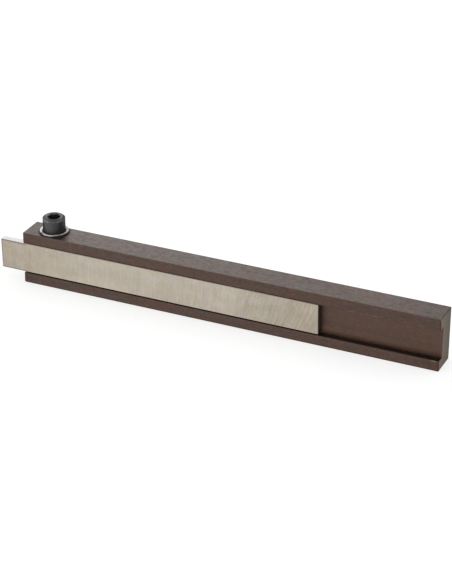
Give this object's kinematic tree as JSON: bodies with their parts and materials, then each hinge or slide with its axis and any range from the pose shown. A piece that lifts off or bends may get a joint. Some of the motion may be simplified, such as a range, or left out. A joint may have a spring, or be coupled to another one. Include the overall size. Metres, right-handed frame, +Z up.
{
  "type": "parting tool holder",
  "caption": "Slim rectangular steel shank bar holding a flat parting blade in a groove along its front face, clamped by a socket head cap screw over a sawn pinch slit.",
  "frame": {"origin": "middle of the shank bar's bottom face, where it rests in a tool post", "axes": "+X along the bar, away from the cutting end; +Z up, from the bar's bottom face to the face under the screw's head; the blade groove faces -Y and the bar's plain back faces +Y"},
  "size_m": [0.1889, 0.0126, 0.0291],
  "materials": {
    "brown_oxide_steel": "satin brown-black oxide over a milled surface",
    "ground_tool_steel": "fine ground, bare",
    "black_oxide_steel": "satin black oxide",
    "plated_washer_steel": "dull bright plating"
  },
  "bodies": {
    "holder": {"holder_bar": "brown_oxide_steel", "flat_washer": "plated_washer_steel"},
    "blade": {"parting_blade": "ground_tool_steel"},
    "screw": {"clamp_screw": "black_oxide_steel"}
  },
  "joints": [
    {"name": "blade_slide", "type": "slide", "parent": "holder", "child": "blade", "axis": [-1, 0, 0], "range_m": [-0.01035, 0.04]},
    {"name": "screw_turn", "type": "hinge", "parent": "holder", "child": "screw", "pos_m": [-0.0782, 0.00053, 0.02303], "axis": [0, 0, 1], "range_deg": [0, 360]}
  ]
}
